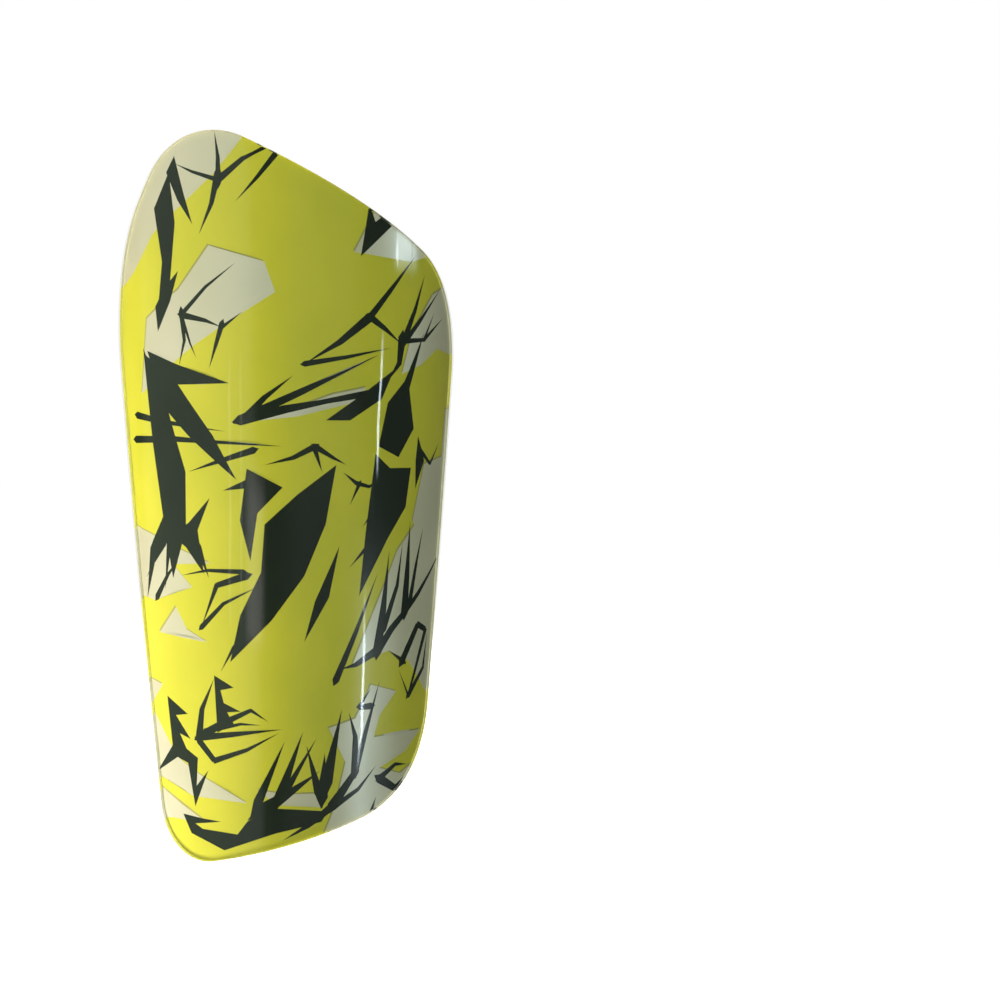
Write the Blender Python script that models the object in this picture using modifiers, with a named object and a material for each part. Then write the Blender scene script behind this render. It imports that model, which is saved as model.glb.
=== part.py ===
"""Slip-in shin guard: a clear curved shell, a printed film behind it, glue, a foam pad and a
knitted lining.

Every layer is cut from one flat pattern, (u, v): u runs round the leg, away from the side with
the peak, and v runs up the shin. Each layer is made as a flat plate and is then formed round a
tapered arc. Metres. +Z is up the shin, -Y is the front of the guard, and the origin is where the
lining meets the middle of the shin.
"""

import math

import bmesh
import bpy
from mathutils import Matrix, Vector

MM = 0.001

# The flat pattern of the shell: corners of a convex polygon, anticlockwise from the peak, and
# the radius that rounds each one.
PATTERN = (
    ((-30.3 * MM, 105.6 * MM), 25.4 * MM),  # peak
    ((-64.6 * MM, 63.8 * MM), 57.3 * MM),  # side below the peak
    ((-39.0 * MM, -105.2 * MM), 15.5 * MM),  # lowest corner
    ((25.6 * MM, -86.6 * MM), 41.3 * MM),  # bottom edge, where it turns up
    ((45.0 * MM, -75.6 * MM), 32.4 * MM),  # far bottom corner
    ((59.1 * MM, 40.5 * MM), 30.0 * MM),  # below the shoulder
    ((56.0 * MM, 61.8 * MM), 32.9 * MM),  # shoulder
)

# The tapered arc that the shell's outer face follows: its radius at two heights.
UPPER_RADIUS = 58.9 * MM
LOWER_RADIUS = 51.5 * MM
RADIUS_SPAN = 205.6 * MM  # height between those two, equal above and below the origin

# Layers from the front to the shin: thickness, and how far the edge is set in from the shell's.
SHELL_THICKNESS = 1.3 * MM
FILM_THICKNESS = 0.15 * MM
GLUE_THICKNESS = 0.15 * MM
FOAM_THICKNESS = 3.3 * MM
LINING_THICKNESS = 0.8 * MM
LAYER_GAP = 0.2 * MM
FILM_INSET = 0.5 * MM
GLUE_INSET = 5.0 * MM
FOAM_INSET = 1.4 * MM
LINING_INSET = 1.6 * MM

SHELL_ROUNDING = 0.45 * MM
FOAM_ROUNDING = 0.6 * MM
LINING_ROUNDING = 0.25 * MM

# How finely a plate is divided before it is formed.
ARC_STEP = math.radians(11)
ACROSS_STEP = 5.0 * MM
ALONG_STEP = 20.0 * MM
MERGE_DISTANCE = 0.02 * MM

# name, thickness, inset, edge rounding, rounding segments, colour, roughness
LAYERS = (
    ("outer_shell", SHELL_THICKNESS, 0.0, SHELL_ROUNDING, 2, (0.86, 0.88, 0.84), 0.06),
    ("graphic_film", FILM_THICKNESS, FILM_INSET, 0.0, 0, (0.80, 0.75, 0.08), 0.35),
    ("adhesive_layer", GLUE_THICKNESS, GLUE_INSET, 0.0, 0, (0.72, 0.68, 0.55), 0.5),
    ("foam_pad", FOAM_THICKNESS, FOAM_INSET, FOAM_ROUNDING, 2, (0.035, 0.04, 0.034), 0.9),
    ("lining_fabric", LINING_THICKNESS, LINING_INSET, LINING_ROUNDING, 1, (0.011, 0.011, 0.011), 0.95),
)
STACK_THICKNESS = sum(layer[1] for layer in LAYERS) + LAYER_GAP * (len(LAYERS) - 1)


def clear_scene():
    """Removes everything that the file opened with."""
    for obj in list(bpy.data.objects):
        bpy.data.objects.remove(obj, do_unlink=True)


def rounded_outline(corners, inset):
    """Points of the closed outline, moved in by the inset. Each corner is an arc tangent to its
    two sides, and an arc keeps its centre when it is moved in."""
    points = []
    for index, (corner, radius) in enumerate(corners):
        corner = Vector(corner)
        to_before = (Vector(corners[index - 1][0]) - corner).normalized()
        to_after = (Vector(corners[(index + 1) % len(corners)][0]) - corner).normalized()
        half_angle = to_before.angle(to_after) / 2
        centre = corner + (to_before + to_after).normalized() * radius / math.sin(half_angle)
        spoke = to_before * radius / math.tan(half_angle) + corner - centre
        spoke *= (radius - inset) / radius
        turn = math.pi - 2 * half_angle
        steps = max(2, math.ceil(turn / ARC_STEP))
        for step in range(steps + 1):
            points.append(centre + Matrix.Rotation(turn * step / steps, 2) @ spoke)
    return points


def flat_plate(name, thickness, inset, rounding, segments):
    """One layer as it is cut: a flat plate, its front face at zero, with rounded edges."""
    outline = rounded_outline(PATTERN, inset)
    mesh = bpy.data.meshes.new(name + "_flat")
    mesh.from_pydata([(u, v, 0.0) for u, v in outline], [], [range(len(outline))])
    plate = bpy.data.objects.new(name + "_flat", mesh)
    bpy.context.scene.collection.objects.link(plate)
    solid = plate.modifiers.new("thickness", "SOLIDIFY")
    solid.thickness = thickness
    solid.offset = -1.0
    if segments:
        bevel = plate.modifiers.new("rounded_edge", "BEVEL")
        bevel.width = rounding
        bevel.segments = segments
        bevel.limit_method = "ANGLE"
        bevel.angle_limit = math.radians(60)
    return plate


def stations(low, high, step):
    """Multiples of the step that lie well inside the range."""
    first = math.ceil(low / step + 0.1)
    last = math.floor(high / step - 0.1)
    return [index * step for index in range(first, last + 1)]


def divide(solid):
    """Cuts the flat plate both ways along straight lines, so that it can bend between them."""
    spans = (
        (Vector((1, 0, 0)), [vert.co.x for vert in solid.verts], ACROSS_STEP),
        (Vector((0, 1, 0)), [vert.co.y for vert in solid.verts], ALONG_STEP),
    )
    for normal, values, step in spans:
        for place in stations(min(values), max(values), step):
            everything = solid.verts[:] + solid.edges[:] + solid.faces[:]
            bmesh.ops.bisect_plane(solid, geom=everything, plane_co=normal * place, plane_no=normal)
    bmesh.ops.remove_doubles(solid, verts=solid.verts[:], dist=MERGE_DISTANCE)
    bmesh.ops.triangulate(solid, faces=[face for face in solid.faces if len(face.verts) > 4])


def outer_radius(v):
    """Radius of the shell's outer face at a height up the shin."""
    middle = (UPPER_RADIUS + LOWER_RADIUS) / 2
    return middle + (UPPER_RADIUS - LOWER_RADIUS) * v / RADIUS_SPAN


def formed(u, v, depth):
    """Where a point of the flat pattern lies once it is formed, at a depth below the shell's
    outer face."""
    radius = outer_radius(v)
    angle = u / radius
    reach = radius - depth
    return Vector((reach * math.sin(angle), radius - STACK_THICKNESS - reach * math.cos(angle), v))


def plain_material(name, colour, roughness):
    material = bpy.data.materials.new(name)
    material.use_nodes = True
    shader = material.node_tree.nodes["Principled BSDF"]
    shader.inputs["Base Color"].default_value = (*colour, 1.0)
    shader.inputs["Roughness"].default_value = roughness
    shader.inputs["Metallic"].default_value = 0.0
    return material


def build_layer(collection, depth, name, thickness, inset, rounding, segments, colour, roughness):
    """One layer, cut flat and then formed round the shin at its depth in the stack."""
    plate = flat_plate(name, thickness, inset, rounding, segments)
    graph = bpy.context.evaluated_depsgraph_get()
    mesh = bpy.data.meshes.new_from_object(plate.evaluated_get(graph))
    mesh.name = name
    bpy.data.objects.remove(plate, do_unlink=True)
    solid = bmesh.new()
    solid.from_mesh(mesh)
    divide(solid)
    for vert in solid.verts:
        vert.co = formed(vert.co.x, vert.co.y, depth - vert.co.z)
    solid.to_mesh(mesh)
    solid.free()
    mesh.materials.append(plain_material(name, colour, roughness))
    mesh.shade_smooth()
    mesh.set_sharp_from_angle(angle=math.radians(40))
    obj = bpy.data.objects.new(name, mesh)
    collection.objects.link(obj)
    return obj


def main():
    clear_scene()
    collection = bpy.data.collections.new("shin_guard")
    bpy.context.scene.collection.children.link(collection)
    depth = 0.0
    for name, thickness, *rest in LAYERS:
        build_layer(collection, depth, name, thickness, *rest)
        depth += thickness + LAYER_GAP


main()
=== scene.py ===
"""Looks for the slip-in shin guard: clear shell, printed film, glue, foam pad and knitted lining.

Every piece is laid out flat in the pattern's own plane, (u, v): u runs round the leg, away from
the side with the peak, and v runs up the shin. It is then formed round the tapered arc that the
CAD layers follow. A flat point's height is measured from the shell's outer face, and is negative
towards the shin. Lengths are in metres, apart from the print, which is drawn in millimetres.
"""

import math
import random

import bpy
import numpy as np
from mathutils import Matrix, Vector
from mathutils.geometry import delaunay_2d_cdt


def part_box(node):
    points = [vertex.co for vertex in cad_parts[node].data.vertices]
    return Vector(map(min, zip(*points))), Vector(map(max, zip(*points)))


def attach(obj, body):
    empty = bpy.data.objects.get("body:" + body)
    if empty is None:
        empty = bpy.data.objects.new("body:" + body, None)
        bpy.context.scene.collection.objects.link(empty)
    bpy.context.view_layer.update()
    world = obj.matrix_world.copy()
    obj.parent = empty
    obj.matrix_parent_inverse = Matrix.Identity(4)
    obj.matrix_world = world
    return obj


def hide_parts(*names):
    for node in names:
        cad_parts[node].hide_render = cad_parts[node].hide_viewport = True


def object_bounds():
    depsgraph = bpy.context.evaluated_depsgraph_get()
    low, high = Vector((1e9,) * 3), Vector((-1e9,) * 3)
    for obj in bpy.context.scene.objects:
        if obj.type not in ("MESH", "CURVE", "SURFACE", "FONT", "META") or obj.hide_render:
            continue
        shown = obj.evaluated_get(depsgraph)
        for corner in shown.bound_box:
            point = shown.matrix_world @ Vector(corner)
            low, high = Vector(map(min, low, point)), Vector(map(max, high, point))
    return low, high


MM = 0.001

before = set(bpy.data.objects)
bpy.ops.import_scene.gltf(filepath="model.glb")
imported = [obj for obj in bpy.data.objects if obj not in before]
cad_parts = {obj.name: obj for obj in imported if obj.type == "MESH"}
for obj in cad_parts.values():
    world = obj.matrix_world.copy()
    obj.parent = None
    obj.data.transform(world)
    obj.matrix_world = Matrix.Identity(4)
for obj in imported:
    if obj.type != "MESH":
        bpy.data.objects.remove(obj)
cad_low, cad_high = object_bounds()

# ---------------------------------------------------------------- the form that every layer has

# Corners of the flat pattern, anticlockwise from the peak, and the radius that rounds each one.
PATTERN = (
    ((-30.3 * MM, 105.6 * MM), 25.4 * MM),
    ((-64.6 * MM, 63.8 * MM), 57.3 * MM),
    ((-39.0 * MM, -105.2 * MM), 15.5 * MM),
    ((25.6 * MM, -86.6 * MM), 41.3 * MM),
    ((45.0 * MM, -75.6 * MM), 32.4 * MM),
    ((59.1 * MM, 40.5 * MM), 30.0 * MM),
    ((56.0 * MM, 61.8 * MM), 32.9 * MM),
)
UPPER_RADIUS = 58.9 * MM
LOWER_RADIUS = 51.5 * MM
RADIUS_SPAN = 205.6 * MM

# Longest step between the points along an outline, and how clear of the outline the points inside
# it stay, as a share of their spacing.
RIM_STEP = 1.2 * MM
RIM_CLEARANCE = 0.55

# Each plate: its thickness, and the radii that round its front and back edges.
SHELL_EDGE = (1.3 * MM, 0.65 * MM, 0.1 * MM)
GLUE_EDGE = (0.15 * MM, 0.05 * MM, 0.05 * MM)
FOAM_EDGE = (3.3 * MM, 0.5 * MM, 0.7 * MM)
LINING_EDGE = (0.8 * MM, 0.2 * MM, 0.55 * MM)

# The foam's back is a little smaller than its front, by this much all round.
FOAM_DRAFT = 0.1 * MM

# The film starts this deep under the shell's outer face, close behind the shell.
FILM_DEPTH = 1.34 * MM
FILM_THICKNESS = 0.25 * MM

# How far inside the shell's outline each of the other layers lies.
FILM_INSET = 0.08 * MM
FOAM_INSET = 1.4 * MM
LINING_INSET = 1.6 * MM
GLUE_INSET = 5.0 * MM

# Half the height of each of the lining's two slow waves.
LINING_SWELL = 0.05 * MM

# Steps in each rounding of the shell's edge, and how many materials its two faces have.
SHELL_EDGE_SEGMENTS = 6
SHELL_FACE_MATERIALS = 2

# How far in from the shell's outline lies the ink that colours its edge.
EDGE_INK_INSET = 0.8 * MM

# Where the crown of the shell's outer face lies, and how deep under it each layer starts.
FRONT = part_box("outer_shell")[0].y
DEPTH = {node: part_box(node)[0].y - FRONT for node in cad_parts}


def radius_at(v):
    """Radius of the shell's outer face at a height up the shin."""
    return (UPPER_RADIUS + LOWER_RADIUS) / 2 + (UPPER_RADIUS - LOWER_RADIUS) * v / RADIUS_SPAN


def formed(flat):
    """Where flat points (u, v, height) lie on the finished guard."""
    u, v, height = flat.T
    radius = radius_at(v)
    angle = u / radius
    reach = radius + height
    return np.column_stack((reach * np.sin(angle), FRONT + radius - reach * np.cos(angle), v))


def formed_directions(flat, directions):
    """Directions (along u, along v, outward) at flat points, turned with the form."""
    across, along, outward = directions.T
    angle = flat[:, 0] / radius_at(flat[:, 1])
    sine, cosine = np.sin(angle), np.cos(angle)
    return np.column_stack((across * cosine + outward * sine, across * sine - outward * cosine, along))


def corner_arcs():
    """Centre, radius, first angle and turn of the arc at each corner of the pattern."""
    arcs = []
    for index, (corner, radius) in enumerate(PATTERN):
        corner = Vector(corner)
        to_before = (Vector(PATTERN[index - 1][0]) - corner).normalized()
        to_after = (Vector(PATTERN[(index + 1) % len(PATTERN)][0]) - corner).normalized()
        half_angle = to_before.angle(to_after) / 2
        centre = corner + (to_before + to_after).normalized() * radius / math.sin(half_angle)
        spoke = to_before * radius / math.tan(half_angle) + corner - centre
        arcs.append((centre, radius, math.atan2(spoke.y, spoke.x), math.pi - 2 * half_angle))
    return arcs


def outline(inset):
    """The pattern's edge moved in by the inset: its points, and the outward direction at each.
    Every inset gives the same number of points, so that two outlines can be joined by quads."""
    arcs = corner_arcs()
    points, outward = [], []
    for index, (centre, radius, first, turn) in enumerate(arcs):
        steps = math.ceil(turn * radius / RIM_STEP)
        for step in range(steps + 1):
            angle = first + turn * step / steps
            direction = Vector((math.cos(angle), math.sin(angle)))
            points.append(centre + direction * (radius - inset))
            outward.append(direction)
        next_centre, next_radius = arcs[(index + 1) % len(arcs)][:2]
        full_end = next_centre + direction * next_radius
        full_start = centre + direction * radius
        steps = max(1, round((full_end - full_start).length / RIM_STEP))
        start, end = points[-1], next_centre + direction * (next_radius - inset)
        for step in range(1, steps):
            points.append(start.lerp(end, step / steps))
            outward.append(direction)
    return np.array(points), np.array(outward)


def area_inside(points):
    """Area inside a closed flat outline, below zero if it runs clockwise."""
    u, v = points.T
    return (np.dot(u, np.roll(v, -1)) - np.dot(v, np.roll(u, -1))) / 2


def inner_points(points, outward, spacing):
    """A triangular grid of points, kept clear of the outline that it fills."""
    low, high = points.min(0), points.max(0)
    rows = []
    for row, v in enumerate(np.arange(low[1], high[1], spacing * math.sqrt(3) / 2)):
        u = np.arange(low[0] + (row % 2) * spacing / 2, high[0], spacing)
        rows.append(np.column_stack((u, np.full_like(u, v))))
    grid = np.concatenate(rows)
    room = (points * outward).sum(1)[None, :] - grid @ outward.T
    return grid[room.min(1) > spacing * RIM_CLEARANCE]


def triangulated(points, inner, shapes=()):
    """Delaunay triangles inside the outline. Each one carries the number of the last shape that
    covers it, counted from 1, or 0 for the bare ground."""
    places = [*points, *inner]
    faces = [list(range(len(points)))]
    for shape in shapes:
        faces.append(list(range(len(places), len(places) + len(shape))))
        places.extend(shape)
    scale = 1 / MM
    made, _, triangles, origins, _, covers = delaunay_2d_cdt(
        [Vector(place) * scale for place in places], [], faces, 1, 1e-5, True
    )
    kept = [(tri, max(cover)) for tri, cover in zip(triangles, covers) if 0 in cover]
    if not shapes:
        where = [origin[0] for origin in origins]
        return np.array(places), [[where[i] for i in tri] for tri, _ in kept], [0] * len(kept)
    used = sorted({i for tri, _ in kept for i in tri})
    number = {old: new for new, old in enumerate(used)}
    flat = np.array([made[i] for i in used]) * MM
    return flat, [[number[i] for i in tri] for tri, _ in kept], [cover for _, cover in kept]


def new_piece(name, flat, faces, directions, node, materials, relief=None):
    """A formed mesh object that stands for a CAD node. Its UV map holds (u, v) in millimetres."""
    mesh = bpy.data.meshes.new(name)
    shaped = flat.copy()
    if relief is not None:
        shaped[:, 2] += relief(flat) * directions[:, 2]
    mesh.from_pydata(formed(shaped).tolist(), [], faces)
    for material in materials:
        mesh.materials.append(material)
    pattern = mesh.uv_layers.new(name="pattern_mm")
    corners = np.empty(len(mesh.loops), np.int32)
    mesh.loops.foreach_get("vertex_index", corners)
    pattern.data.foreach_set("uv", (flat[corners, :2] / MM).astype(np.float32).ravel())
    mesh.shade_smooth()
    if relief is None:
        mesh.normals_split_custom_set_from_vertices(formed_directions(flat, directions).tolist())
    obj = bpy.data.objects.new(name, mesh)
    bpy.context.scene.collection.objects.link(obj)
    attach(obj, "root")
    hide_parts(node)
    return obj


def rounded_edge(thickness, front_rounding, back_rounding, segments, draft=0.0):
    """Stations round a plate's edge, front to back: inset, depth, and the direction there as
    (outward, to the front). The draft sets the back in by that much."""
    stations = []
    for step in range(segments + 1):
        angle = math.pi / 2 * step / segments
        stations.append((
            front_rounding * (1 - math.sin(angle)),
            front_rounding * (1 - math.cos(angle)),
            math.sin(angle),
            math.cos(angle),
        ))
    for step in range(segments + 1):
        angle = math.pi / 2 * (1 + step / segments)
        stations.append((
            draft + back_rounding * (1 - math.sin(angle)),
            thickness - back_rounding * (1 + math.cos(angle)),
            math.sin(angle),
            math.cos(angle),
        ))
    return stations


def plate(name, node, inset, stations, spacing, materials, relief=None):
    """A layer with a rounded edge, made flat and then formed. The spacing is that of the points on
    its faces. The first material is the front's and the edge's, and the second, if there is one, is
    the back's."""
    base = -DEPTH[node]
    flat, directions, faces = [], [], []
    for more_inset, depth, outward_share, front_share in stations:
        points, outward = outline(inset + more_inset)
        flat.append(np.column_stack((points, np.full(len(points), base - depth))))
        directions.append(np.column_stack((outward * outward_share, np.full(len(points), front_share))))
    count = len(flat[0])
    for row in range(len(stations) - 1):
        for i in range(count):
            j = (i + 1) % count
            faces.append((row * count + i, (row + 1) * count + i, (row + 1) * count + j, row * count + j))
    total = count * len(stations)
    for row, facing in ((0, 1.0), (len(stations) - 1, -1.0)):
        back_start = len(faces)
        points, outward = flat[row][:, :2], outline(inset)[1]
        inner = inner_points(points, outward, spacing)
        _, triangles, _ = triangulated(points, inner)
        shift = [row * count + i for i in range(count)] + [total + i for i in range(len(inner))]
        for tri in triangles:
            corners = [shift[i] for i in tri]
            faces.append(corners if facing > 0 else corners[::-1])
        flat.append(np.column_stack((inner, np.full(len(inner), flat[row][0, 2]))))
        directions.append(np.tile((0.0, 0.0, facing), (len(inner), 1)))
        total += len(inner)
    obj = new_piece(
        name, np.concatenate(flat), faces, np.concatenate(directions), node, materials, relief
    )
    for polygon in obj.data.polygons[back_start:]:
        polygon.material_index = min(1, len(materials) - 1)
    return obj


# ---------------------------------------------------------------- node materials


class Nodes:
    """A material's node tree, with short calls to add and link nodes."""

    def __init__(self, name):
        self.material = bpy.data.materials.new(name)
        self.material.use_nodes = True
        self.tree = self.material.node_tree
        self.tree.nodes.clear()
        self.output = self.tree.nodes.new("ShaderNodeOutputMaterial")

    def add(self, kind, settings=None, **inputs):
        """Adds a node. An input named Noise_Scale is the socket 'Noise Scale', and a name that
        ends in a number, such as in0, is the socket of that number."""
        node = self.tree.nodes.new("ShaderNode" + kind)
        for key, value in (settings or {}).items():
            setattr(node, key, value)
        for key, value in inputs.items():
            socket = node.inputs[int(key[2:]) if key[:2] == "in" else key.replace("_", " ")]
            if isinstance(value, bpy.types.NodeSocket):
                self.tree.links.new(value, socket)
            else:
                socket.default_value = value
        return node.outputs[0]

    def math(self, operation, first, second=0.0, third=0.0):
        return self.add("Math", {"operation": operation}, in0=first, in1=second, in2=third)

    def ramp(self, value, low, high, start=0.0, end=1.0):
        """The value's part between low and high, spread smoothly from start to end."""
        return self.add(
            "MapRange", {"interpolation_type": "SMOOTHSTEP"}, Value=value, From_Min=low,
            From_Max=high, To_Min=start, To_Max=end,
        )

    def mix(self, share, first, second, blend="MIX"):
        node = self.tree.nodes.new("ShaderNodeMix")
        node.data_type = "RGBA"
        node.blend_type = blend
        for socket, value in ((node.inputs[0], share), (node.inputs[6], first), (node.inputs[7], second)):
            if isinstance(value, bpy.types.NodeSocket):
                self.tree.links.new(value, socket)
            else:
                socket.default_value = (*value, 1.0) if isinstance(value, tuple) else value
        return node.outputs[2]

    def noise(self, place, scale, detail=2.0, roughness=0.5):
        return self.add("TexNoise", Vector=place, Scale=scale, Detail=detail, Roughness=roughness)

    def place(self):
        """The place in the frame that all the pieces share, in metres."""
        return self.tree.nodes.new("ShaderNodeTexCoord").outputs["Object"]

    def pattern(self):
        """The flat pattern's (u, v), in millimetres."""
        node = self.tree.nodes.new("ShaderNodeUVMap")
        node.uv_map = "pattern_mm"
        return node.outputs[0]

    def bump(self, height, distance, strength=1.0, **more):
        return self.add("Bump", Height=height, Distance=distance, Strength=strength, **more)

    def finish(self, shader):
        """Ends the tree in this shader, and gives the material."""
        self.tree.links.new(shader, self.output.inputs["Surface"])
        return self.material


def scratches(nodes, place, angle, density):
    """Hairline scratches in one direction: 1 on a scratch, 0 elsewhere."""
    turned = nodes.add("Mapping", Vector=place, Rotation=(0.3, angle, 0.0), Scale=(900.0, 900.0, 14.0))
    grain = nodes.noise(turned, 1.0, 0.0)
    return nodes.ramp(grain, density, density + 0.03)


# Share of the light that polished plastic reflects when it is seen head on. The share is the same
# from both sides of the face, so that the light that comes in through the shell also gets out.
HEAD_ON_GLOSS = 0.042

# Share of the light on the shell's cut edge that comes through it.
EDGE_GLOW_SHARE = 0.25


def clear_surface(nodes):
    """The polished face of the clear shell: see-through, with faint wear, and with a sharp
    reflection that wavers a little, most of all towards the lower end."""
    place = nodes.place()
    sway = nodes.noise(place, 42.0, 1.0)
    marks = nodes.math("MAXIMUM", scratches(nodes, place, 0.5, 0.74), scratches(nodes, place, -0.9, 0.75))
    smears = nodes.ramp(nodes.noise(place, 60.0, 3.0, 0.6), 0.45, 0.75)
    rough = nodes.math("MULTIPLY_ADD", marks, 0.12, nodes.math("MULTIPLY_ADD", smears, 0.03, 0.035))
    height = nodes.add("SeparateXYZ", in0=place).node.outputs["Z"]
    unruly = nodes.ramp(height, -0.05, -0.09, 0.3, 1.0)
    bent = nodes.add("Bump", Height=sway, Distance=0.0006, Strength=unruly)
    face = nodes.bump(marks, 0.00001, 0.4, Normal=bent)
    shine = nodes.add("BsdfGlossy", Color=(1, 1, 1, 1), Roughness=rough, Normal=face)
    clear = nodes.add("BsdfTransparent", Color=(0.985, 0.99, 0.975, 1))
    slant = nodes.tree.nodes.new("ShaderNodeLayerWeight")
    slant.inputs["Blend"].default_value = 0.5
    nodes.tree.links.new(face, slant.inputs["Normal"])
    grazing = nodes.math("POWER", slant.outputs["Facing"], 5.0)
    share = nodes.math("MULTIPLY_ADD", grazing, 1.0 - HEAD_ON_GLOSS, HEAD_ON_GLOSS)
    return nodes.add("MixShader", in0=share, in1=clear, in2=shine)


def shell_material():
    """The shell's front and the rounding of its edge."""
    nodes = Nodes("clear_plastic")
    return nodes.finish(clear_surface(nodes))


def shell_inner_material():
    """The face that the film is bonded to, which has no gloss of its own."""
    nodes = Nodes("clear_plastic_inner")
    haze = nodes.ramp(nodes.noise(nodes.place(), 45.0, 2.0), 0.3, 0.7)
    tint = nodes.mix(haze, (0.97, 0.98, 0.955), (0.99, 0.992, 0.98))
    return nodes.finish(nodes.add("BsdfTransparent", Color=tint))


def shell_edge_material(name, light, dark):
    """The shell's cut edge, where the print shows through the plastic, with a polish of its own."""
    nodes = Nodes(name)
    place = nodes.place()
    colour = nodes.mix(nodes.ramp(nodes.noise(place, 220.0, 3.0), 0.3, 0.7), light, dark)
    marks = nodes.noise(nodes.add("Mapping", Vector=place, Scale=(300.0, 300.0, 1500.0)), 1.0, 2.0)
    face = nodes.bump(marks, 0.00003, 0.4)
    gloss = nodes.add(
        "BsdfPrincipled", Base_Color=colour, Roughness=nodes.ramp(marks, 0.35, 0.7, 0.22, 0.42), IOR=1.5,
        Normal=face,
    )
    glow = nodes.add("BsdfTranslucent", Color=colour, Normal=face)
    return nodes.finish(nodes.add("MixShader", in0=EDGE_GLOW_SHARE, in1=gloss, in2=glow))


def ink_material(name, light, dark, pearl=0.0):
    """Printed ink: a fine screen of dots, slow changes of density and speckle. The pearl is the
    share of a pearly lustre."""
    nodes = Nodes(name)
    pattern = nodes.pattern()
    drift = nodes.ramp(nodes.noise(pattern, 0.035, 2.0), 0.3, 0.7)
    colour = nodes.mix(drift, light, dark)
    turned = nodes.add("Mapping", Vector=pattern, Rotation=(0.0, 0.0, 0.4), Scale=(5.0, 5.0, 5.0))
    dots = nodes.add("TexVoronoi", {"feature": "F1"}, Vector=turned, Scale=1.0, Randomness=0.15)
    screen = nodes.ramp(dots, 0.2, 0.6, 1.0, 0.94)
    speckle = nodes.ramp(nodes.noise(pattern, 6.0, 2.0), 0.3, 0.7, 0.95, 1.03)
    tone = nodes.math("MULTIPLY", screen, speckle)
    value = nodes.add("CombineXYZ", X=tone, Y=tone, Z=tone)
    colour = nodes.mix(1.0, colour, value, "MULTIPLY")
    shader = nodes.add("BsdfPrincipled", Base_Color=colour, Roughness=0.6, Specular_IOR_Level=0.0)
    if pearl:
        lustre = nodes.add("BsdfGlossy", Color=(0.9, 0.97, 1.0, 1.0), Roughness=0.34)
        shader = nodes.add("MixShader", in0=pearl, in1=shader, in2=lustre)
    return nodes.finish(shader)


def foam_material():
    """Closed-cell foam: small cells with thin walls, each cell's pit painted darker as shade in the hollow,
    and a cut face that is a little chalky.
    """
    nodes = Nodes("foam")
    place = nodes.place()
    cells = nodes.add("TexVoronoi", {"feature": "DISTANCE_TO_EDGE"}, Vector=place, Scale=2600.0)
    walls = nodes.ramp(cells, 0.02, 0.22)
    cloud = nodes.ramp(nodes.noise(place, 160.0, 3.0), 0.3, 0.7)
    colour = nodes.mix(cloud, (0.012, 0.014, 0.013), (0.022, 0.025, 0.022))
    # Painted shade: the middle of each cell, its pit, is darkened towards black, as if shade fell in it.
    colour = nodes.mix(nodes.math("MULTIPLY", walls, 0.45), colour, (0.006, 0.007, 0.006))
    face = nodes.bump(nodes.math("SUBTRACT", 1.0, walls), 0.00012, 0.5)
    shader = nodes.add(
        "BsdfPrincipled", Base_Color=colour, Roughness=0.82, Normal=face, Sheen_Weight=0.06,
        Sheen_Roughness=0.6,
    )
    return nodes.finish(shader)


# The knit's loops: how far apart they lie along a row, and how far apart the rows lie.
KNIT_WALE_MM = 1.15
KNIT_COURSE_MM = 1.5


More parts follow.
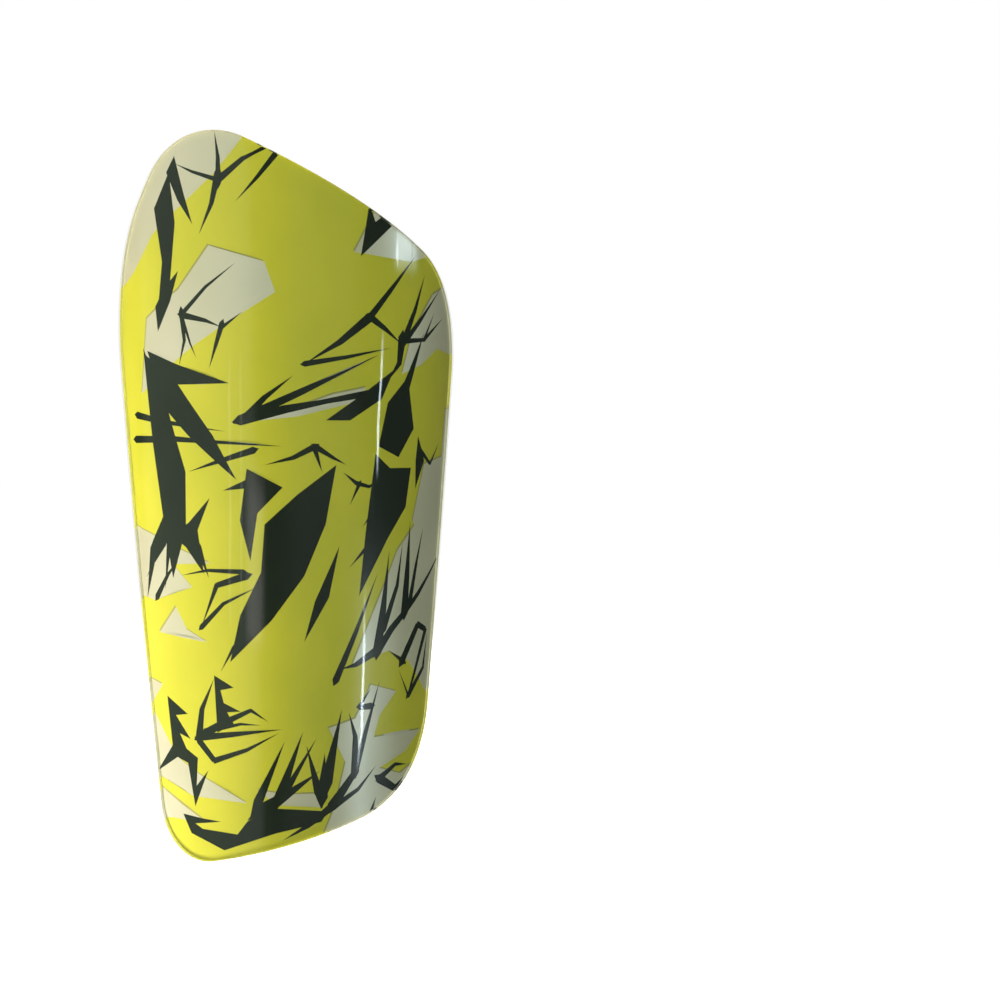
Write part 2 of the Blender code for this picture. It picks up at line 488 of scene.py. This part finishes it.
def lining_material():
    """Black knit: rows of short raised loops, each row shifted half a loop, none quite like the next, with a
    few glossier loops, fuzz and a soft sheen. The raised loops are painted lighter than the gaps between
    them, as painted shade in the gaps, and the glossier loops get a painted glint in their colour."""
    nodes = Nodes("knit")
    pattern = nodes.pattern()
    wander = nodes.noise(pattern, 0.5, 3.0)
    drift = nodes.add("VectorMath", {"operation": "SCALE"}, in0=wander.node.outputs["Color"], Scale=2.0)
    drifted = nodes.add("VectorMath", {"operation": "ADD"}, in0=pattern, in1=drift)
    across, along, _ = nodes.add("SeparateXYZ", in0=drifted).node.outputs
    course = nodes.math("DIVIDE", along, KNIT_COURSE_MM)
    row = nodes.math("FLOOR", course)
    shift = nodes.math("MULTIPLY", nodes.math("MODULO", row, 2.0), 0.5)
    wale = nodes.math("ADD", nodes.math("DIVIDE", across, KNIT_WALE_MM), shift)
    stitch = nodes.add("CombineXYZ", X=nodes.math("FLOOR", wale), Y=row)
    chance = nodes.add("TexWhiteNoise", {"noise_dimensions": "2D"}, Vector=stitch)
    stray = nodes.add("SeparateXYZ", in0=chance.node.outputs["Color"]).node.outputs
    from_row = nodes.math("SUBTRACT", nodes.math("FRACT", course), nodes.ramp(stray[1], 0.0, 1.0, 0.32, 0.68))
    from_wale = nodes.math("SUBTRACT", nodes.math("FRACT", wale), nodes.ramp(stray[2], 0.0, 1.0, 0.4, 0.6))
    wide = nodes.math("POWER", nodes.math("DIVIDE", from_wale, 0.45), 2.0)
    tall = nodes.math("POWER", nodes.math("DIVIDE", from_row, 0.30), 2.0)
    loop = nodes.ramp(nodes.math("ADD", wide, tall), 0.1, 1.1, 1.0, 0.0)
    loop_height_and_shade = nodes.math("MULTIPLY", loop, nodes.ramp(chance, 0.1, 1.0, 0.05, 1.0))
    fuzz = nodes.noise(pattern, 1.5, 3.0, 0.8)
    height = nodes.math("MULTIPLY_ADD", fuzz, 0.9, loop_height_and_shade)
    cloud = nodes.ramp(nodes.noise(pattern, 0.09, 3.0), 0.35, 0.7)
    # Painted shade: the gaps between the loops are dark and the raised loops lighter, each loop also a little
    # different at random.
    colour = nodes.mix(loop_height_and_shade, (0.0050, 0.0062, 0.0055), (0.0240, 0.0260, 0.0240))
    colour = nodes.mix(nodes.ramp(fuzz, 0.3, 0.7, 0.0, 0.6), colour, (0.0120, 0.0134, 0.0124))
    colour = nodes.mix(nodes.math("MULTIPLY", cloud, 0.35), colour, (0.0120, 0.0132, 0.0122))
    # Painted glint: a few glossier loops are painted lighter, besides being less rough.
    glossy_loops_and_glint = nodes.math("MULTIPLY", nodes.ramp(chance, 0.86, 0.99), nodes.ramp(loop, 0.55, 0.95))
    colour = nodes.mix(nodes.math("MULTIPLY", glossy_loops_and_glint, 0.45), colour, (0.06, 0.062, 0.062))
    rough = nodes.math("MULTIPLY_ADD", glossy_loops_and_glint, -0.3, nodes.ramp(fuzz, 0.2, 0.8, 0.75, 0.95))
    shader = nodes.add(
        "BsdfPrincipled", Base_Color=colour, Roughness=rough, Normal=nodes.bump(height, 0.0003, 0.8),
        Sheen_Weight=0.07, Sheen_Roughness=0.45, Sheen_Tint=(0.8, 0.85, 0.9, 1.0), Specular_IOR_Level=0.2,
    )
    return nodes.finish(shader)


def glue_material():
    """A rolled coat of glue, cloudy and full of small bubbles."""
    nodes = Nodes("glue")
    place = nodes.place()
    cloud = nodes.noise(place, 90.0, 3.0)
    bubbles = nodes.add("TexVoronoi", {"feature": "SMOOTH_F1"}, Vector=place, Scale=900.0)
    colour = nodes.mix(cloud, (0.62, 0.57, 0.42), (0.80, 0.77, 0.64))
    shader = nodes.add(
        "BsdfPrincipled", Base_Color=colour, Roughness=nodes.ramp(cloud, 0.3, 0.7, 0.25, 0.5),
        Normal=nodes.bump(bubbles, 0.0001, 0.5),
    )
    return nodes.finish(shader)


def floor_material():
    """Pale, matt and nearly white."""
    nodes = Nodes("pale_floor")
    grain = nodes.noise(nodes.place(), 30.0, 3.0)
    colour = nodes.mix(grain, (0.93, 0.93, 0.925), (0.96, 0.96, 0.955))
    return nodes.finish(nodes.add(
        "BsdfPrincipled", Base_Color=colour, Roughness=0.9, Specular_IOR_Level=0.0,
        Emission_Color=(1.0, 1.0, 1.0, 1.0), Emission_Strength=0.9,
    ))


# ---------------------------------------------------------------- the printed shards

# The inks, in the order of the film's materials and of the shell's edge materials.
GROUND_INK, SHADE_INK, PALE_INK, DARK_INK = range(4)

# Pale facets of the print, each a polygon that may run past the film's edge. Millimetres, (u, v).
FACETS = (
    ((-80, 94), (-84, 66), (-58, 62), (-52, 65), (-43, 74), (-31, 81), (-21, 88), (-9, 101), (-16, 122)),
    ((-49, 30), (-46, 51), (-33, 58), (-23, 69), (-7, 64), (-4, 56), (-16, 49), (-27, 43), (-40, 35)),
    ((18, 67), (27, 83), (58, 84), (50, 70), (37, 66)),
    ((34, 35), (38, 47), (47, 58), (60, 64), (72, 52), (66, 41), (50, 43), (42, 38)),
    ((39, -6), (44, 10), (54, 12), (56, 26), (72, 24), (72, -26), (58, -10), (55, -24), (47, -22)),
    (
        (18, -45), (24, -32), (33, -14), (41, -6), (50, -20), (58, -30), (60, -44), (48, -58),
        (38, -46), (30, -42),
    ),
    ((11, -62), (19, -60), (24, -51), (33, -54), (27, -60), (25, -66), (44, -67), (37, -72), (27, -75)),
    ((27, -75), (35, -78), (46, -74), (44, -92), (30, -88), (6, -100), (13, -84), (16, -72), (11, -62)),
    ((-62, -6), (-50, -9), (-41, -11), (-23, -17), (-36, -18), (-29, -24), (-44, -29), (-62, -27)),
    ((-42, -38), (-35, -30), (-31, -36), (-24, -39)),
    ((-62, -50), (-41, -53), (-47, -60), (-62, -61)),
    ((-62, -64), (-45, -62), (-35, -73), (-12, -83), (-30, -83), (-47, -79), (-62, -84)),
    ((-62, -85), (-45, -82), (-24, -90), (-37, -91), (-62, -97)),
    ((-17, 21), (-5, 23), (12, 29), (22, 31), (19, 27), (2, 23)),
    ((-9, -79), (-4, -83), (9, -84), (8, -80), (-1, -80)),
)

# Dark shards, in the same units.
SHARDS = (
    # A tall splinter at the upper left, with a chip off its foot.
    ((-36, 90), (-34, 76), (-36, 60), (-41, 52), (-39, 66), (-42, 81)),
    ((-37, 90), (-34, 94), (-31, 84), (-28, 75), (-33, 82)),
    ((-38, 59), (-33, 63), (-36, 55), (-41, 47), (-42, 54)),
    # Three blades that fan out from the left edge.
    ((-48, 43), (-38, 27), (-31, 8), (-31, -8), (-36, -22), (-40, -4), (-44, 16)),
    ((-47, 41), (-35, 34), (-22, 18), (-15, 6), (-30, 18), (-40, 27)),
    ((-46, 42), (-32, 37), (-17, 32), (-33, 32), (-42, 34)),
    ((-38, -2), (-46, -14), (-48, -29), (-43, -16), (-34, -8)),
    ((-36, -10), (-30, -6), (-23, 1), (-27, -8), (-25, -20), (-31, -13)),
    # A long spearhead that lies slantwise over the middle, and the splinters round it.
    ((13, 10), (10, -6), (4, -20), (-5, -32), (-17, -44), (-14, -31), (-8, -19), (-7, -6), (2, 2)),
    ((-12, 9), (-2, 4), (-9, -3), (-11, -16), (-14, -5)),
    ((14, -12), (11, -26), (4, -38), (7, -27)),
    ((-9, 4), (-19, 3), (-10, 7)),
    # A splinter at the right that is broken and shifted halfway, and its chips.
    ((43, 47), (35, 33), (29, 27), (26, 15), (33, 12), (39, 20), (37, 31)),
    ((25, 13), (30, 9), (38, 9), (36, -2), (29, -11), (20, -26), (22, -8)),
    ((27, 28), (17, 22), (10, 22), (22, 30), (31, 36)),
    ((41, 18), (44, 11), (40, 3), (40, 11)),
    # A barbed splinter at the lower left, and a barbed wedge beside it.
    (
        (-39, -56), (-31, -60), (-35.5, -61), (-30, -67), (-34, -66), (-31.5, -70), (-27.5, -72),
        (-28, -80), (-24, -75), (-28.5, -86), (-31, -74), (-35, -73), (-44, -79), (-37, -70),
    ),
    ((-22, -48), (-16, -51), (-20, -52), (-19, -55.5), (-14, -57.5), (-18, -58), (-16, -61), (-21, -64)),
    # A notch at the upper right edge.
    ((22.5, 80), (24.5, 75.5), (28, 78), (30, 75), (20, 66)),
    # A keel along the lower edge.
    (
        (-33, -89), (-26, -92), (-15, -92), (-12, -88), (-4, -84), (9, -85), (13, -82), (9, -88),
        (-4, -91), (-19, -97), (-30, -94),
    ),
    ((-33, -89), (-20, -89), (-29, -91)),
)

# Cracks: width at the thick end, then the points that the crack runs through to its tip.
CRACKS = (
    # A burst at the top.
    (1.7, (-20, 86), (-13, 91), (-4, 95)),
    (1.0, (-4, 95), (-13, 91), (-20, 86)),
    (1.1, (-20, 86), (-28, 89), (-34, 92)),
    (1.5, (-20, 85), (-20, 92), (-21, 99)),
    (1.8, (-20, 88), (-22, 80), (-26, 72)),
    (1.4, (-3, 93), (-9, 86), (-15, 80)),
    # Cracks over the slanted facet.
    (1.6, (-32, 51), (-24, 49), (-19, 47)),
    (1.2, (-32, 51), (-24, 58), (-15, 64)),
    (1.4, (-19, 48), (-21, 42), (-23, 36)),
    (0.9, (-19, 47), (-13, 51)),
    (1.5, (-32, 52), (-31, 44), (-33, 37)),
    (1.0, (-32, 51), (-29, 43), (-27, 39)),
    # A web over the right shoulder.
    (1.6, (23, 50), (30, 58), (39, 68)),
    (2.2, (23, 50), (14, 43), (4, 37)),
    (1.7, (23, 50), (28, 47), (34, 43)),
    (1.3, (4, 37), (16, 39), (30, 42)),
    (1.8, (34, 43), (39, 53), (43, 63)),
    (1.5, (34, 43), (41, 50), (51, 60)),
    (1.3, (34, 44), (43, 45), (48, 53)),
    (1.1, (43, 45), (53, 52)),
    (2.4, (34, 45), (33, 38), (29, 33)),
    # Long rays over the middle.
    (2.4, (-14, 22), (-1, 25), (26, 30)),
    (2.2, (-14, 22), (4, 30), (26, 40)),
    (1.9, (-13, 22), (-7, 28), (1, 34)),
    (1.7, (26, 30), (4, 26), (-10, 24)),
    # Needles across the left side.
    (1.7, (-52, 24), (-40, 22), (-18, 19)),
    (1.8, (-53, 17), (-34, 17), (-2, 15)),
    (1.6, (-10, 14), (-20, 11), (-30, 8)),
    (1.2, (-13, -19), (-24, -19), (-33, -21)),
    (1.8, (-12, -20), (-21, -23), (-26, -35)),
    (1.3, (-26, -35), (-19, -28), (-9, -23)),
    (1.7, (-43, -28), (-38, -21), (-34, -17)),
    (1.4, (-10, -34), (-16, -40), (-20, -47)),
    # Small ticks.
    (1.5, (7, 15), (1, 12), (-7, 10)),
    (1.4, (7, 15), (12, 12), (16, 10)),
    (1.2, (7, 14), (9, 8)),
    (1.1, (19, 5), (23, 4), (27, 6)),
    (1.0, (19, 5), (15, 8)),
    (1.0, (20, 5), (17, -1)),
    (1.4, (26, -9), (21, -14), (17, -18)),
    (1.1, (25, -2), (21, -7)),
    (1.2, (42, 14), (47, 10), (52, 16)),
    # A burst on the right flank.
    (2.0, (26, -42), (31, -36), (42, -27), (56, -14)),
    (2.6, (26, -42), (28, -30), (30, -14)),
    (1.7, (28, -36), (33, -24), (35, -12)),
    (2.4, (36, -32), (37, -20), (38, -6)),
    (1.5, (38, -30), (41, -18), (44, -8)),
    (2.0, (25, -42), (19, -45), (14, -46)),
    (1.7, (13, -49), (19, -36), (26, -20)),
    (1.9, (35, -46), (42, -36), (46, -38), (38, -56), (34, -48)),
    (1.3, (36, -46), (30, -42)),
    (1.5, (38, -56), (45, -49), (47, -39)),
    # Splinters at the lower left.
    (2.2, (-27, -66), (-19, -61), (-11, -57), (-6, -60)),
    (2.0, (-27, -66), (-26, -58), (-22, -49)),
    (1.8, (-27, -66), (-16, -64), (-2, -62)),
    (1.7, (-27, -67), (-22, -72), (-12, -68), (-3, -63)),
    (1.3, (-25, -64), (-14, -61), (-8, -61)),
    # The lower right corner.
    (2.5, (12, -84), (19, -75), (22, -66)),
    (2.2, (19, -75), (19, -65), (17, -58)),
    (1.7, (19, -75), (23, -62), (27, -50)),
    (1.9, (12, -84), (5, -89), (-2, -93)),
    (1.6, (11, -85), (20, -80), (26, -74)),
    (1.6, (24, -57), (20, -57), (24, -52)),
    (2.2, (27, -78), (33, -82), (43, -76)),
    (1.6, (27, -78), (33, -75), (38, -76)),
    (1.7, (23, -90), (26, -83)),
)

# Sprays of splinters: root, first and last heading in degrees, how many, shortest and longest
# reach, and width at the root.
SPRAYS = (
    ((-11, -87), 35, 66, 2, 19, 27, 3.4),
    ((-4, -84), 58, 74, 2, 17, 24, 3.0),
    ((9, -83), 72, 108, 3, 14, 27, 3.6),
    ((-37, -9), 232, 262, 2, 12, 19, 2.2),
    ((-28, -10), 285, 310, 1, 9, 12, 2.0),
)

# How far a facet's olive shade is printed off to its upper left.
SHADE_SHIFT_MM = (-0.35, 0.45)

# A crack's width falls with this power of what is left of its length, and the widths in CRACKS
# are drawn this much bolder.
CRACK_TAPER = 0.65
CRACK_BOLDNESS = 1.2

# How far a crack's thick end is drawn out to a point, and how far one length of a crack runs back
# over the one before, as shares of its width there.
CRACK_TAIL = 0.8
CRACK_LAP = 0.25

# A crack's end that is no wider than this is drawn as one point.
THINNEST_TIP_MM = 1e-6

# Seed of the random draws that the sprays take.
PRINT_SEED = 11


def crack_polygons(width, *points):
    """Polygons along a crack that narrows from its thick end to its tip, faster and faster."""
    points = [Vector(point) for point in points]
    lengths = [(b - a).length for a, b in zip(points, points[1:])]
    whole, gone, polygons = sum(lengths), 0.0, []
    for index, (a, b) in enumerate(zip(points, points[1:])):
        start = width * max(0.0, 1 - gone / whole) ** CRACK_TAPER
        gone += lengths[index]
        end = width * max(0.0, 1 - gone / whole) ** CRACK_TAPER
        across = (b - a).normalized().orthogonal()
        lap = (b - a).normalized() * (start * CRACK_LAP if index else 0.0)
        corners = [a - lap + across * start / 2, a - lap - across * start / 2, b - across * end / 2]
        if not index:
            corners.insert(1, a - (b - a).normalized() * start * CRACK_TAIL)
        if end > THINNEST_TIP_MM:
            corners.append(b + across * end / 2)
        polygons.append(corners)
    return polygons


def spray_polygons(chance, root, first, last, count, shortest, longest, width):
    """Thin kites that fan out from one root."""
    root = Vector(root)
    polygons = []
    for index in range(count):
        share = (index + chance.uniform(-0.3, 0.3)) / max(1, count - 1)
        heading = math.radians(first + (last - first) * share)
        along = Vector((math.cos(heading), math.sin(heading)))
        reach = chance.uniform(shortest, longest)
        side = along.orthogonal() * width * chance.uniform(0.35, 0.6)
        shoulder = root + along * reach * chance.uniform(0.12, 0.3)
        tail, tip = root - along * width * 0.4, root + along * reach
        polygons.append([tail, shoulder - side, tip, shoulder + side])
    return polygons


def anticlockwise(polygon):
    """The polygon's corners as an array, in anticlockwise order."""
    corners = np.array([tuple(corner) for corner in polygon], float)
    return corners if area_inside(corners) > 0 else corners[::-1]


def printed_shapes():
    """Every shape of the print in the order it is laid down, each with its ink."""
    chance = random.Random(PRINT_SEED)
    dark = [*SHARDS]
    for width, *points in CRACKS:
        dark.extend(crack_polygons(width * CRACK_BOLDNESS, *points))
    for spray in SPRAYS:
        dark.extend(spray_polygons(chance, *spray))
    shapes = [(anticlockwise(shape) + SHADE_SHIFT_MM, SHADE_INK) for shape in FACETS]
    shapes += [(anticlockwise(shape), PALE_INK) for shape in FACETS]
    shapes += [(anticlockwise(shape), DARK_INK) for shape in dark]
    return shapes


def inside(polygon, point):
    """Whether a point lies in a polygon, by counting the sides to its right."""
    start, end = polygon, np.roll(polygon, -1, 0)
    spans = (start[:, 1] > point[1]) != (end[:, 1] > point[1])
    start, end = start[spans], end[spans]
    run, rise = (end - start).T
    crossing = start[:, 0] + (point[1] - start[:, 1]) * run / rise
    return (crossing > point[0]).sum() % 2 == 1


def colour_shell_edge(shell, first_row, last_row):
    """Gives these rows of the shell's edge the ink that lies next to them, which shows through
    the plastic. The edge materials come after the shell's front and back ones."""
    points = outline(EDGE_INK_INSET)[0] / MM
    shapes = printed_shapes()
    inks = []
    for point in points:
        covers = [ink for shape, ink in shapes if inside(shape, point)]
        inks.append(covers[-1] if covers else GROUND_INK)
    count = len(points)
    for polygon in shell.data.polygons[first_row * count:last_row * count]:
        polygon.material_index = SHELL_FACE_MATERIALS + inks[polygon.index % count]


def printed_film(name, node, spacing, materials):
    """The film, its face cut along the edges of the print so that each ink has its own faces."""
    points, outward = outline(FILM_INSET)
    shapes = printed_shapes()
    flat, triangles, covers = triangulated(
        points, inner_points(points, outward, spacing), [shape * MM for shape, _ in shapes]
    )
    inks = [GROUND_INK, *(ink for _, ink in shapes)]
    front = [list(tri) for tri in triangles]
    count = len(flat)
    back = [[i + count for i in reversed(tri)] for tri in front]
    sides = [side for tri in front for side in zip(tri, tri[1:] + tri[:1])]
    shared = set(sides)
    border = [(a, b) for a, b in sides if (b, a) not in shared]
    height = np.full(count, -FILM_DEPTH)
    both = np.concatenate((
        np.column_stack((flat, height)),
        np.column_stack((flat, height - FILM_THICKNESS)),
    ))
    directions = np.repeat(((0.0, 0.0, 1.0), (0.0, 0.0, -1.0)), count, axis=0)
    walls = [(a, a + count, b + count, b) for a, b in border]
    obj = new_piece(name, both, front + back + walls, directions, node, materials)
    for polygon, cover in zip(obj.data.polygons, covers):
        polygon.material_index = inks[cover]
    return obj


# ---------------------------------------------------------------- the pieces


def lining_relief(flat):
    """The knit isn't quite flat on the foam: slow waves across the leg and along it."""
    u, v = flat[:, 0] / MM, flat[:, 1] / MM
    across = np.sin(u * 0.21 + 1.1 * np.sin(v * 0.05))
    along = np.sin(v * 0.13 + 0.9 * np.sin(u * 0.07))
    return LINING_SWELL * (across + along)


def build_pieces():
    """The five layers, from the front to the shin."""
    stations = rounded_edge(*SHELL_EDGE, SHELL_EDGE_SEGMENTS)
    shell = plate(
        "clear_shell", "outer_shell", 0.0, stations, 2.0 * MM,
        [shell_material(), shell_inner_material()],
    )
    for material in (
        shell_edge_material("edge_yellow", (0.84, 0.80, 0.09), (0.76, 0.73, 0.08)),
        shell_edge_material("edge_shade", (0.66, 0.64, 0.17), (0.58, 0.56, 0.15)),
        shell_edge_material("edge_pale", (0.72, 0.70, 0.46), (0.64, 0.62, 0.39)),
        shell_edge_material("edge_dark", (0.14, 0.15, 0.06), (0.11, 0.12, 0.05)),
    ):
        shell.data.materials.append(material)
    colour_shell_edge(shell, SHELL_EDGE_SEGMENTS, len(stations) - 1)
    inks = [
        ink_material("ink_yellow", (0.84, 0.80, 0.062), (0.78, 0.76, 0.058)),
        ink_material("ink_shade", (0.52, 0.50, 0.14), (0.48, 0.46, 0.14)),
        ink_material("ink_pale", (0.84, 0.79, 0.53), (0.78, 0.73, 0.47), pearl=0.2),
        ink_material("ink_dark", (0.020, 0.030, 0.014), (0.015, 0.024, 0.011)),
    ]
    printed_film("printed_film", "graphic_film", 2.4 * MM, inks)
    plate(
        "glue_coat", "adhesive_layer", GLUE_INSET, rounded_edge(*GLUE_EDGE, 1),
        4.0 * MM, [glue_material()],
    )
    foam = plate(
        "foam_body", "foam_pad", FOAM_INSET, rounded_edge(*FOAM_EDGE, 5, FOAM_DRAFT),
        2.4 * MM, [foam_material()],
    )
    lining = plate(
        "knit_lining", "lining_fabric", LINING_INSET, rounded_edge(*LINING_EDGE, 5),
        1.6 * MM, [lining_material()], lining_relief,
    )
    cut, _ = outline(LINING_INSET)


# ---------------------------------------------------------------- floor, light and camera


FLOOR_SIZE = 8.0
FLOOR_DROP = 0.06


def build_stage():
    """A pale floor that only the camera sees, so that it neither lights the guard nor shows in it."""
    bpy.ops.mesh.primitive_plane_add(size=FLOOR_SIZE, location=(0.0, 0.0, cad_low.z - FLOOR_DROP))
    floor = bpy.context.object
    floor.name = "floor"
    floor.data.materials.append(floor_material())
    floor.visible_diffuse = floor.visible_glossy = floor.visible_shadow = False


def faded_lamp(light, fades):
    """Lets a lamp die away towards its ends and its sides, each over its share of that length."""
    light.use_nodes = True
    tree = light.node_tree
    split = tree.nodes.new("ShaderNodeSeparateXYZ")
    tree.links.new(tree.nodes.new("ShaderNodeNewGeometry").outputs["Parametric"], split.inputs[0])
    both = tree.nodes.new("ShaderNodeMath")
    both.operation = "MULTIPLY"
    for fade, place, factor in zip(fades, split.outputs, both.inputs):
        fold = tree.nodes.new("ShaderNodeMath")
        fold.operation = "PINGPONG"
        fold.inputs[1].default_value = 0.5
        tree.links.new(place, fold.inputs[0])
        slope = tree.nodes.new("ShaderNodeMapRange")
        slope.interpolation_type = "SMOOTHSTEP"
        slope.inputs["From Max"].default_value = fade
        tree.links.new(fold.outputs[0], slope.inputs["Value"])
        tree.links.new(slope.outputs[0], factor)
    tree.links.new(both.outputs[0], tree.nodes["Emission"].inputs["Strength"])


def panel_light(name, start, end, height, power, colour, spreads=True, mirrored=True, fades=None):
    """A lamp whose middle line runs between two points, and whose other side is the height. It
    faces the guard. One that spreads gives diffuse light, and one that is mirrored shows in gloss.
    The fades are the shares of its length and its height over which it dies away at each end."""
    start, end = Vector(start), Vector(end)
    light = bpy.data.lights.new(name, "AREA")
    light.shape = "RECTANGLE"
    light.size, light.size_y = (end - start).length, height
    light.energy = power
    light.color = colour
    if fades:
        faded_lamp(light, fades)
    lamp = bpy.data.objects.new(name, light)
    lamp.location = (start + end) / 2
    along = (end - start).normalized()
    facing = (lamp.location - along * along.dot(lamp.location)).normalized()
    lamp.rotation_euler = Matrix((along, facing.cross(along), facing)).transposed().to_euler()
    lamp.visible_diffuse = spreads
    lamp.visible_glossy = mirrored
    lamp.visible_camera = False
    bpy.context.scene.collection.objects.link(lamp)


def build_lights():
    """Lamps that light the guard, and then lamps that only show in its gloss."""
    warm, neutral = (1.0, 0.915, 0.90), (1.0, 0.97, 0.93)
    cool, sky = (0.90, 1.0, 0.94), (0.80, 0.93, 1.0)
    for name, start, end, height, power, colour in (
        ("window", (-0.40, -0.155, -0.46), (-0.42, 0.065, -0.46), 0.3, 7.3, warm),
        ("front_fill", (-0.2, -0.56, 0.16), (0.2, -0.56, 0.16), 0.3, 1.35, cool),
        ("behind", (-0.48, 0.29, 0.34), (-0.16, 0.53, 0.34), 0.4, 3.2, neutral),
        ("back_fill", (0.05, 0.6, 0.1), (0.3, 0.54, 0.1), 0.3, 1.3, neutral),
    ):
        panel_light(name, start, end, height, power, colour, mirrored=False)
    for name, start, end, height, power, colour, fades in (
        ("window_image", (-0.26, -0.86, -0.1), (-0.8, 0.25, -0.1), 1.4, 2.7, cool, (0.12, 0.1)),
        ("frame_image", (-0.534, -0.74, 0.15), (-0.568, -0.715, -0.22), 0.035, 0.05, neutral, (0.2, 0.45)),
        ("frame_image_2", (-0.44, -0.797, 0.15), (-0.469, -0.781, -0.22), 0.035, 0.04, neutral, (0.2, 0.45)),
        ("frame_image_3", (-0.32, -0.842, 0.0), (-0.33, -0.837, -0.25), 0.26, 0.26, warm, (0.2, 0.35)),
        ("room_image", (-0.12, -0.9, -0.1), (0.72, -0.62, -0.1), 1.4, 0.62, cool, (0.3, 0.2)),
        ("backdrop_image", (-0.6, 0.8, 0.0), (0.6, 0.8, 0.0), 1.0, 2.3, neutral, (0.1, 0.1)),
        ("strip_high", (0.80, -0.456, 0.15), (0.776, -0.496, -0.03), 0.036, 0.37, sky, (0.28, 0.45)),
        ("strip_low", (0.718, -0.571, -0.15), (0.678, -0.617, -0.42), 0.04, 0.72, sky, (0.45, 0.45)),
        ("strip_top", (0.862, -0.34, 0.262), (0.872, -0.315, 0.232), 0.03, 0.04, sky, (0.3, 0.45)),
        ("halo_low", (0.725, -0.563, -0.08), (0.674, -0.62, -0.52), 0.30, 0.5, sky, (0.45, 0.45)),
        ("glow_high", (0.868, -0.211, 0.205), (0.868, -0.211, 0.405), 0.36, 1.4, sky, (0.2, 0.3)),
        ("glow_low", (0.76, -0.48, 0.0), (0.70, -0.54, -0.64), 0.90, 1.5, sky, (0.4, 0.45)),
    ):
        panel_light(name, start, end, height, power, colour, spreads=False, fades=fades)
    build_world(neutral, sky)


def build_world(air_colour, mirrored_colour):
    """Faint air that lights the guard, another that shows in gloss, and white for the camera."""
    world = bpy.data.worlds.new("studio")
    bpy.context.scene.world = world
    world.use_nodes = True
    tree = world.node_tree
    tree.nodes.clear()
    rays = tree.nodes.new("ShaderNodeLightPath")
    shader = None
    for colour, strength, ray in (
        (air_colour, 0.12, None),
        (mirrored_colour, 0.17, "Is Glossy Ray"),
        ((1.0, 1.0, 1.0), 1.0, "Is Camera Ray"),
    ):
        air = tree.nodes.new("ShaderNodeBackground")
        air.inputs["Color"].default_value = (*colour, 1.0)
        air.inputs["Strength"].default_value = strength
        if ray:
            either = tree.nodes.new("ShaderNodeMixShader")
            tree.links.new(rays.outputs[ray], either.inputs[0])
            tree.links.new(shader.outputs[0], either.inputs[1])
            tree.links.new(air.outputs[0], either.inputs[2])
            air = either
        shader = air
    tree.links.new(shader.outputs[0], tree.nodes.new("ShaderNodeOutputWorld").inputs["Surface"])


# The camera looks at a point a little behind the crown.
LOOK_DEPTH = 12.3 * MM
CAMERA_DISTANCE = 272.5 * MM
CAMERA_ELEVATION = math.radians(3.3)
CAMERA_TURN = math.radians(-0.9)
CAMERA_LENS_MM = 35.03
CAMERA_SENSOR_MM = 36.0

# The guard stands left of the middle of the picture, by this share of its width.
CAMERA_SHIFT = 0.2108


def build_camera():
    """A view of the front from slightly above, with the whole guard in the left half."""
    camera = bpy.data.cameras.new("camera")
    camera.lens = CAMERA_LENS_MM
    camera.sensor_width = CAMERA_SENSOR_MM
    camera.shift_x = CAMERA_SHIFT
    camera.clip_start = 0.01
    obj = bpy.data.objects.new("camera", camera)
    bpy.context.scene.collection.objects.link(obj)
    back = Vector((
        math.sin(CAMERA_TURN) * math.cos(CAMERA_ELEVATION),
        -math.cos(CAMERA_TURN) * math.cos(CAMERA_ELEVATION),
        math.sin(CAMERA_ELEVATION),
    ))
    obj.location = Vector((0.0, FRONT + LOOK_DEPTH, 0.0)) + back * CAMERA_DISTANCE
    obj.rotation_euler = (-back).to_track_quat("-Z", "Y").to_euler()
    bpy.context.scene.camera = obj


build_pieces()
build_stage()
build_lights()
build_camera()
bpy.context.scene.view_settings.view_transform = "Standard"
